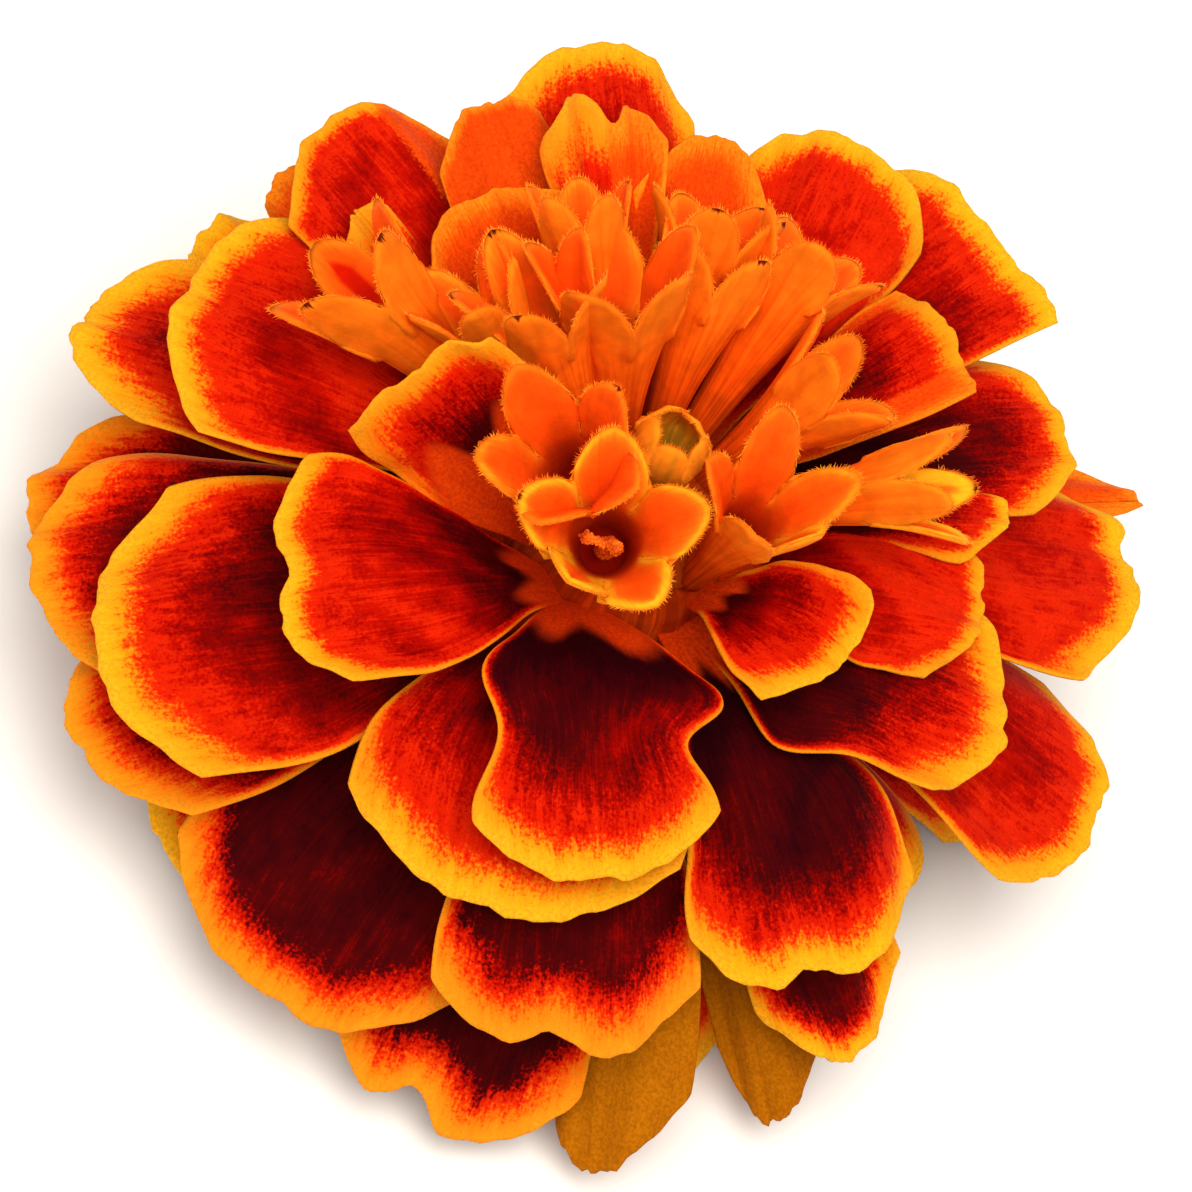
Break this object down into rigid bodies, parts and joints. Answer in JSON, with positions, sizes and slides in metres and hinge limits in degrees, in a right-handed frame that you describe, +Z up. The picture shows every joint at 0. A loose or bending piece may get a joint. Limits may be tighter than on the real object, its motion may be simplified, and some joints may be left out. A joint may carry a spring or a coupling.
{
  "type": "marigold flower",
  "caption": "Double French marigold bloom picked at its green cup: layered ruffled red petals with gold edges round a raised centre of orange star-shaped florets, resting face up.",
  "frame": {"origin": "centre of the flat face where the stem was cut, which is also the level of the surface that the bloom lies on", "axes": "+Z up along the axis of the bloom, out of its face; -Y towards the side that the picture looks from; +X to the right as seen from there"},
  "size_m": [0.0575, 0.0541, 0.031],
  "materials": {
    "petal": "living petal, stood in for by paper: matt velvet with a soft sheen, red mahogany with wavy gold margins and orange claws, plain golden orange underneath",
    "floret": "living floret, stood in for by paper: soft satin orange, golden yellow along the finely fringed edges of the lobes",
    "involucre": "living green bracts, stood in for by paper: satin leaf green, paler along the ribs, with small oil glands"
  },
  "bodies": {
    "root": {"ray_petals": "petal", "disc_florets": "floret", "involucre": "involucre"}
  },
  "joints": []
}
